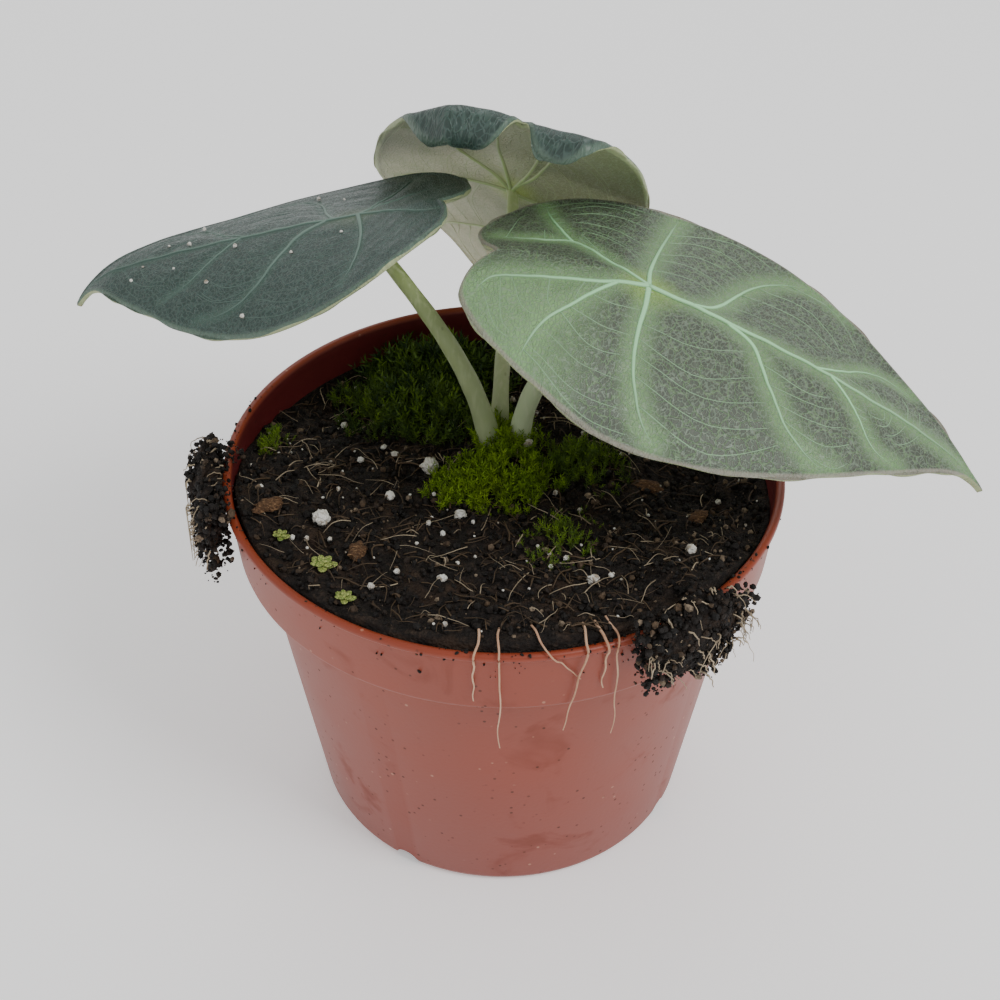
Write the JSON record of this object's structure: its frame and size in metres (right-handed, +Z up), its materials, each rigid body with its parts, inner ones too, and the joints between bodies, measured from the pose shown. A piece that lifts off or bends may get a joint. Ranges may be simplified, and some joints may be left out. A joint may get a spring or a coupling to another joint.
{
  "type": "potted alocasia",
  "caption": "Young alocasia with arrow-shaped leathery leaves, bright veins and pale stalks, growing from mossy dark soil in a terracotta-coloured nursery pot.",
  "frame": {"origin": "centre of the pot's flat base, on the surface that the pot stands on", "axes": "+Z up along the pot's axis, -Y the front from which the large pale-veined leaf points right, +X to the right"},
  "size_m": [0.1882, 0.1609, 0.1619],
  "materials": {
    "pot": "satin terracotta-coloured moulded plastic",
    "soil": "damp crumbly peat, nearly black",
    "corm": "rough brown rootstock",
    "blade_pale_veined": "grey-green leathery leaf with mint veins",
    "blade_dark": "dark teal leathery leaf with a blue sheen",
    "blade_underside": "leaf with a pale olive underside and a teal upper face",
    "stalk": "pale green smooth leaf stalk",
    "moss": "fine bright green moss",
    "liverwort": "yellow-green low rosettes",
    "perlite": "white porous grains",
    "bark": "rough bark chips",
    "root": "fine pale brown roots"
  },
  "bodies": {
    "root": {"pot": "pot", "soil": "soil", "soil_clump_left": "soil", "soil_clump_right": "soil", "corm": "corm", "leaf_front": "blade_pale_veined", "leaf_left": "blade_dark", "leaf_back": "blade_underside", "stalk_front": "stalk", "stalk_left": "stalk", "stalk_back": "stalk", "moss_crown": "moss", "moss_back": "moss", "moss_right": "moss", "moss_front": "moss", "moss_left_rim": "moss", "rosette_1": "liverwort", "rosette_2": "liverwort", "rosette_3": "liverwort", "perlite_1": "perlite", "perlite_2": "perlite", "perlite_3": "perlite", "perlite_4": "perlite", "perlite_5": "perlite", "perlite_6": "perlite", "perlite_7": "perlite", "bark_1": "bark", "bark_2": "bark", "bark_3": "bark", "bark_4": "bark", "hanging_root_1": "root", "hanging_root_2": "root", "hanging_root_3": "root", "hanging_root_4": "root", "hanging_root_5": "root", "hanging_root_6": "root"}
  },
  "joints": []
}
